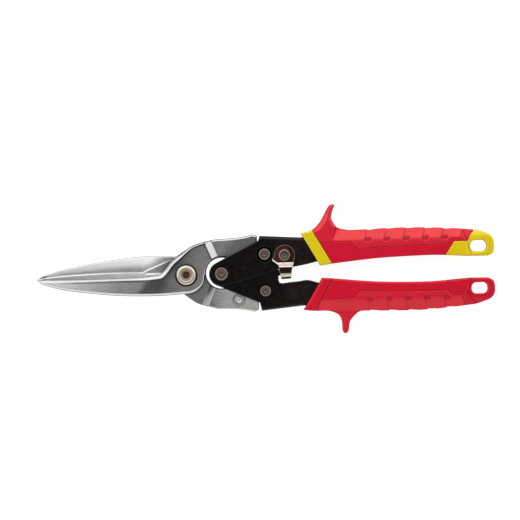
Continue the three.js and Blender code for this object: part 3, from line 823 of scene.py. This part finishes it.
def latch():
    """A plated pressing: disc, raised thumb pad and a lip bent down towards the lower handle."""
    grid = Grid((58, -5.5, 2.6), (75.5, 20, 11), 0.15)
    away = deep(latch_distance(grid))
    sheet = 1.1
    bend = grid.y - 0.78 * np.maximum(61.9 - grid.x, 0)
    rise = 1.1 * smooth(6.6, 3.2, bend) - 1.5 * smooth(-0.7, -3.9, grid.y)
    middle = deep(LATCH_BASE + sheet / 2 + rise)
    plate = round_max(away, np.abs(grid.z - middle) / 1.05 - sheet / 2, 0.2)
    lip = np.maximum(away, deep(grid.y + 3.1))
    lip = round_max(lip, np.maximum(3.3 - grid.z, grid.z - middle), 0.3)
    field = np.maximum(np.minimum(plate, lip), LATCH_HOLE - deep(radial(grid, LATCH_PIVOT)))
    end = deep(0.91 * (0.04 * (grid.x - 64.3) - 4 - grid.y)) + 0.41 * (grid.z - UPPER_WALL - SHEET)
    piece = surface("latch_pressed", grid, np.maximum(field, end), NICKEL)
    at = Spots(piece)
    # Painted dark reflections on the disc's rim, the disc's right side and the thumb pad.
    rim = 0.75 * smooth(-0.6, -0.4, latch_distance(at)) * smooth(8.5, 10, at.y)
    disc = 0.5 * smooth(65, 71, at.x) * smooth(6, 7, at.y)
    pad = 0.55 * smooth(3.6, 3, at.y) * smooth(-1, -0.5, at.y)
    darken(piece, np.maximum(rim, np.maximum(disc, pad)))
    return piece


def spring():
    """Wire coiled round the handle pivot, with a leg against the eye of each blade's tail."""
    radius, turns, pitch, wire = 5, 2.5, 1.56, 0.75
    angles = np.linspace(math.pi / 2 - 0.15, math.pi / 2 + 0.15 - 2 * math.pi * turns, 90)
    heights = np.linspace(-0.5, 0.5, 90) * pitch * turns
    centre = HANDLE_PIVOT[0]
    coil = [(centre + radius * math.cos(a), radius * math.sin(a), z) for a, z in zip(angles, heights)]
    legs = [[(51, side * 4.6, z), (38, side * 4.75, z)] for side, z in ((1, heights[0]), (-1, heights[-1]))]
    return tube("spring_wire", [*legs[0], *coil, *reversed(legs[1])], wire, SPRING)


# ---- Grips -----------------------------------------------

GRIP_HALF, LOOP_HALF = REST - 0.05, 6.4
SEAM = [(84, 19.6), (112.7, 19), (117.3, 14.3), (136.8, 15.3), (176.9, 15.8), (180.8, 19.2), (186.2, 19)]
LOOP_LINE = [(171.9, 2), (182.2, 17.4), (191.4, 17.4), (197.6, 30)]
COLLAR_FRONT = [(76.9, 28), (90.7, 3)]
COLLAR_BACK = [(86.1, 28.1), (99.6, 4.4)]
SHOULDER, RIB_BASE = 19.6, 19.5  # how far from the axis the shoulder and the thumb slots start
RIB_PITCH, RIBS = 13, 5
GRIP_STEP = 0.34


def side_of(line, grid):
    """Signed distance to a straight line, positive on its +X side."""
    (ax, ay), (bx, by) = line
    length = math.hypot(bx - ax, by - ay)
    return ((grid.x - ax) * (ay - by) + (grid.y - ay) * (bx - ax)) / length


def rib_places(grid, first):
    """For each slot, how far across it a place lies, from -1 to 1, and half its width."""
    half = 2.2 + 0.07 * (grid.y - RIB_BASE)
    for i in range(RIBS):
        yield (grid.x - first - i * RIB_PITCH - 0.36 * (grid.y - RIB_BASE)) / half, half


def rib_shades(at, first):
    """Painted shade in the slots' closed ends, and thin painted dark lines along their steeper sides."""
    closed_end = smooth(22, 20.5, at.y) * smooth(0.3, 0.6, rib_slots(at, first))
    side = 0
    for across, half in rib_places(at, first):
        side = np.maximum(side, np.exp(-(((across + 1) * half / 0.4) ** 2)))
    return np.maximum(closed_end, 0.6 * side * smooth(18.5, 19.5, at.y) * smooth(28, 25, at.y))


def rib_slots(grid, first):
    """Depth of the slanted slots. They are deepest at their closed ends and scooped out beyond them."""
    depth = 0
    for across, half in rib_places(grid, first):
        inside = smooth(0.12, -0.12, np.abs(across) - 1)
        closed = smooth(18.5, 19, grid.y - 0.25 * half * across**2)
        scoop = 1 - 0.35 * (1 + across) * smooth(20, 22.5, grid.y)
        deepest = 0.95 - 0.35 * smooth(20, 22.5, grid.y)
        depth = np.maximum(depth, inside * closed * scoop * deepest)
    return depth


def grip_solid(grid, outline, guard, flat_end, ramp):
    """The whole grip's field: level faces, a broad slanting shoulder along the outer side and a thinner
    end loop. The shoulder fades out towards the guard, between flat_end and 5 mm beyond it. The guard's
    front edge, left of x = guard, is the more rounded."""
    away = outline_distance(outline, grid)
    fade = smooth(flat_end, flat_end + 5, grid.x - 0.3 * (grid.y - 20))
    half = GRIP_HALF - (GRIP_HALF - LOOP_HALF) * ramp - 1.5 * smooth(33, 46, grid.y)
    front = smooth(1, -1, grid.x - guard - 0.16 * (grid.y - 30))
    edge = 1.6 + (1 + 2.2 * front) * smooth(24, 29, grid.y) - 0.8 * front * smooth(31, 43, grid.y)
    solid = round_max(deep(away), np.abs(grid.z) - deep(half), deep(edge + 0 * ramp))
    slope = 0.5
    drop = np.minimum(slope * (grid.y - SHOULDER), 4) * (1 - 0.2 * ramp) - 8 * (1 - fade)
    shoulder = (np.abs(grid.z) - deep(half - drop)) / math.hypot(1, slope)
    return round_max(solid, shoulder, 0.8)


def grip_fields(grid, outline, lug, hole, wall, guard, flat_end, first_rib):
    """The fields of the collar, core, shell and loop, drawn as the upper grip."""
    ramp = smooth(189.2, 193, grid.x + 0.25 * (grid.y - 16))
    solid = grip_solid(grid, outline, guard, flat_end, ramp)
    pocket = np.maximum(deep(outline_distance(lug, grid)), np.abs(grid.z) - wall - SHEET - GAP)
    slotted = np.maximum(solid + deep(rib_slots(grid, first_rib)), -pocket)
    solid = np.maximum(solid, -pocket)
    seam = outline_distance([*SEAM, (190, 29), (100, 70), (80, 70)], grid)
    loop = outline_distance([*LOOP_LINE, (215, 30), (215, 2)], grid)
    collar_front, collar_back = side_of(COLLAR_FRONT, grid), side_of(COLLAR_BACK, grid)
    edge, gap = 0.4, 0.05
    jog = 0.6 * smooth(5, 4.5, np.abs(grid.z))
    seam, loop, collar_back = deep(seam) + jog, deep(loop) + jog, deep(collar_back) - jog
    body = np.maximum(gap - collar_back, gap - loop)
    band = round_max(deep(outline_distance(outline, grid)), np.abs(grid.z) - GRIP_HALF, 1.6)
    band = np.maximum(band, -pocket)
    return {
        "collar": round_max(band, np.maximum(collar_back + gap, deep(-collar_front)), 1.2),
        "core": round_max(solid + 0.1, np.maximum(body, gap - seam), edge),
        "shell": round_max(slotted, np.maximum(body, seam + gap), edge),
        "loop": round_max(round_max(solid, loop + gap, edge), -deep(hole_field(grid, hole)), 1.2),
    }


def hole_field(grid, hole):
    """Signed distance to the loop's hanging hole, a rectangle with round corners."""
    length, width, radius = 11.2, 7.6, 3.4
    dx = np.abs(grid.x - hole[0]) - length / 2 + radius
    dy = np.abs(grid.y - hole[1]) - width / 2 + radius
    outside = np.sqrt(np.maximum(dx, 0) ** 2 + np.maximum(dy, 0) ** 2)
    return outside + np.minimum(np.maximum(dx, dy), 0) - radius


def grip(prefix, outline, hole, wall, guard, flat_end, first_rib, materials, flip):
    """A grip's collar, core, shell and loop. Their pocket takes the channel's tang."""
    grid = Grid((77, 2, -10.6), (211.5, 47, 10.6), GRIP_STEP)
    pocket = [(70, 23.9), (79.2, 23.5), (168.3, 19.8), (168.3, 12.2), (95, 8.7), (88.4, 6), (70, 0)]
    fields = grip_fields(grid, outline, pocket, hole, wall, guard, flat_end, first_rib)
    pieces = {}
    for part, field in fields.items():
        pieces[part] = surface(f"{prefix}_{part}_moulded", grid, field, materials[part], flip)
    at = Spots(pieces["shell"], flip)
    # Painted shade in the thumb slots.
    darken(pieces["shell"], rib_shades(at, first_rib) * (at.z > 2))
    return pieces


def upper_outline():
    """Round from the collar over the finger guard and the loop, and back along the inner side."""
    guard = [(77.9, 26), (86, 28.1), (90.8, 32.3), (93.8, 36.7), (97.3, 43.1), (99.4, 44.8), (101.2, 45.1)]
    return joined(
        spline(guard),
        spline([(102.2, 44.4), (100.9, 41.7), (99.8, 38.2), (99.7, 34.8), (103.5, 29.2), (111.5, 27.2)]),
        spline([(123.3, 27.4), (143.3, 27.9), (163.9, 27.4), (182.1, 26.3), (196.1, 25.1)]),
        spline([(200.8, 24), (206.3, 21.7), (208.9, 18.5), (209.5, 13.6), (208.6, 8.8), (205.2, 6.8)]),
        spline([(191.2, 7), (177, 8), (162, 8.3), (130.6, 7.4), (99.7, 4.6), (90.9, 3.6)]),
    )


def lower_outline():
    """Drawn mirrored, in the same order."""
    guard = [(78.9, 26.2), (87.5, 27.1), (95.9, 27.3), (102.4, 30), (104.6, 34.5), (104.9, 40.2)]
    return joined(
        spline([*guard, (105.6, 42.2), (107, 43)]),
        spline([(108.5, 42.2), (109.3, 40.2), (109.7, 37.2), (111, 33.6), (116.7, 28.4), (123.6, 28)]),
        spline([(143.3, 28.5), (156.1, 28.6), (168.9, 28.1), (182.2, 27), (195.7, 25.9)]),
        spline([(205.5, 22.6), (208.6, 19.5), (209.4, 15.1), (208.5, 10.2), (204.8, 7.9)]),
        spline([(192.6, 7.7), (176, 8.8), (160.3, 9.3), (130.1, 8.3), (100, 5.3), (92.1, 4.7)]),
    )


# ---- The object ------------------------------------------


def put(piece, body, slot, *nodes):
    """Rides the piece on its body and hides the CAD nodes that it stands for. slot, its finish's name, is not
    used.
    """
    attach(piece, body)
    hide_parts(*nodes)
    return piece


def keep(node, material, bevel=0.25):
    """A CAD node that stays, with a material and a small bevel."""
    piece = frame["nodes"][node]
    piece.data.materials.clear()
    piece.data.materials.append(material)
    rim = piece.modifiers.new("rim", "BEVEL")
    rim.width = bevel * MM
    rim.segments = 2
    rim.limit_method = "ANGLE"
    rim.angle_limit = CRISP


put(front_blade(), "front_blade", "blade_steel", "front_blade")
put(rear_blade(), "rear_blade", "blade_steel", "rear_blade")
put(pivot_bolt(), "front_blade", "nickel", "pivot_bolt")
put(head_washer(), "front_blade", "black_steel", "head_washer")
put(upper_channel(), "upper_handle", "black_steel", "upper_channel")
put(lower_channel(), "lower_handle", "black_steel", "lower_channel")
handle_rivet = rivet("handle_rivet_set", HANDLE_PIVOT, 4.4, 2.6, 7.4, 1.3)
upper_rivet = rivet("upper_link_rivet_set", LINK, 3.9, 2.2, 6.2, 1.4)
lower_rivet = rivet("lower_link_rivet_set", LINK, 3.65, 2.2, 5.1, 1.3, "y")
put(handle_rivet, "upper_handle", "rivet_steel", "handle_rivet")
put(upper_rivet, "upper_handle", "rivet_steel", "upper_link_rivet")
put(lower_rivet, "lower_handle", "rivet_steel", "lower_link_rivet")
put(latch(), "latch", "nickel", "latch_plate")
put(latch_rivet(), "upper_handle", "rivet_steel", "latch_rivet")

wire = spring()
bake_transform(wire)
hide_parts("torsion_spring")

UPPER_LOOKS = {"collar": YELLOW, "core": FIRM_RED, "shell": SOFT_RED, "loop": AMBER}
LOWER_LOOKS = {"collar": FIRM_RED, "core": FIRM_RED, "shell": SOFT_RED, "loop": FIRM_RED}
SLOTS = {YELLOW: "yellow_plastic", AMBER: "yellow_plastic", FIRM_RED: "red_plastic", SOFT_RED: "red_rubber"}
NODES = {"collar": "collar", "core": "grip_core", "shell": "grip_shell", "loop": "loop"}
GRIPS = [
    ("upper", upper_outline(), (198.8, 13.8), UPPER_WALL, 96, 96, 123.6, UPPER_LOOKS, None),
    ("lower", lower_outline(), (198.9, 14.8), LOWER_WALL, 107, 60, 123.9, LOWER_LOOKS, "y"),
]
for side, *shape, looks, flip in GRIPS:
    for part, piece in grip(side, *shape, looks, flip).items():
        put(piece, f"{side}_handle", SLOTS[looks[part]], f"{side}_{NODES[part]}")

keep("pivot_nut", PLAIN)
keep("nut_washer", BLACK, 0.15)
keep("handle_bushing", PLAIN, 0.15)


# ---- Floor, light and camera -----------------------------


def floor():
    """Pale, matt and glowing, so that the tool's shadow is faint."""
    bpy.ops.mesh.primitive_plane_add(size=6)
    piece = bpy.context.object
    piece.name = "floor"
    s = Surface("pale floor", grey(0.34), 0.9, specular=0.1)
    s.drive("Base Color", s.mottled(s.noise(40), grey(0.32), grey(0.36)))
    s.shader.inputs["Emission Color"].default_value = (1, 1, 1, 1)
    s.shader.inputs["Emission Strength"].default_value = 0.9
    piece.data.materials.append(s.material)


def sky():
    """A studio's soft boxes all round the horizon, a broad one above the far side of the tool, a dimmer
    near side, and the dark ceiling straight above."""
    world = bpy.data.worlds.new("studio")
    bpy.context.scene.world = world
    world.use_nodes = True
    s = Shading(world.node_tree)
    place, split = s.nodes.new("ShaderNodeTexCoord"), s.nodes.new("ShaderNodeSeparateXYZ")
    s.links.new(place.outputs["Generated"], split.inputs["Vector"])
    across, height = s.scaled(split.outputs["Y"], -1, 1, 0, 1), split.outputs["Z"]
    sides = s.ramp(across, [0.1, grey(0.95)], [0.3, grey(0.25)], [0.42, grey(0.4)], [0.48, grey(0.95)],
                   [0.66, grey(1.45)])
    ceiling = (0.05, 0.018, 0.012)
    above = s.ramp(height, [0.35, grey(0)], [0.6, grey(1)], [0.985, grey(1)], [0.9955, ceiling])
    horizon = s.ramp(height, [0.4, grey(0.95)], [0.6, grey(0)])
    total = s.mix("ADD", 1.0, s.multiplied(sides, above), horizon)
    background = s.nodes["Background"]
    s.links.new(total, background.inputs["Color"])
    background.inputs["Strength"].default_value = 1.0


def softbox(name, place, size, power):
    """A lamp aimed at the tool's middle and left out of reflections."""
    light = bpy.data.lights.new(name, "AREA")
    light.shape = "RECTANGLE"
    light.size, light.size_y = size
    light.energy = power
    lamp = bpy.data.objects.new(name, light)
    lamp.location = place
    lamp.visible_glossy = False
    bpy.context.scene.collection.objects.link(lamp)
    towards = Vector((0.05, 0, 0.01)) - Vector(place)
    lamp.rotation_euler = towards.to_track_quat("-Z", "Y").to_euler()


def camera():
    """Straight overhead through a long lens, turned a little so that the handles lie higher."""
    frame_width, distance = 0.3536, 2.6
    data = bpy.data.cameras.new("camera")
    data.sensor_width = 36
    data.lens = data.sensor_width * distance / frame_width
    data.clip_end = 20
    view = bpy.data.objects.new("camera", data)
    view.location = (0.05035, 0.00869, distance + REST * MM)
    view.rotation_euler = (0, 0, math.radians(-1.8))
    bpy.context.scene.collection.objects.link(view)
    bpy.context.scene.camera = view


floor()
sky()
softbox("key", (-0.1, 1.2, 1.1), (1.4, 0.7), 12)
softbox("fill", (0.3, -1.3, 0.8), (1.4, 0.6), 6)
camera()
bpy.context.scene.view_settings.view_transform = "Standard"
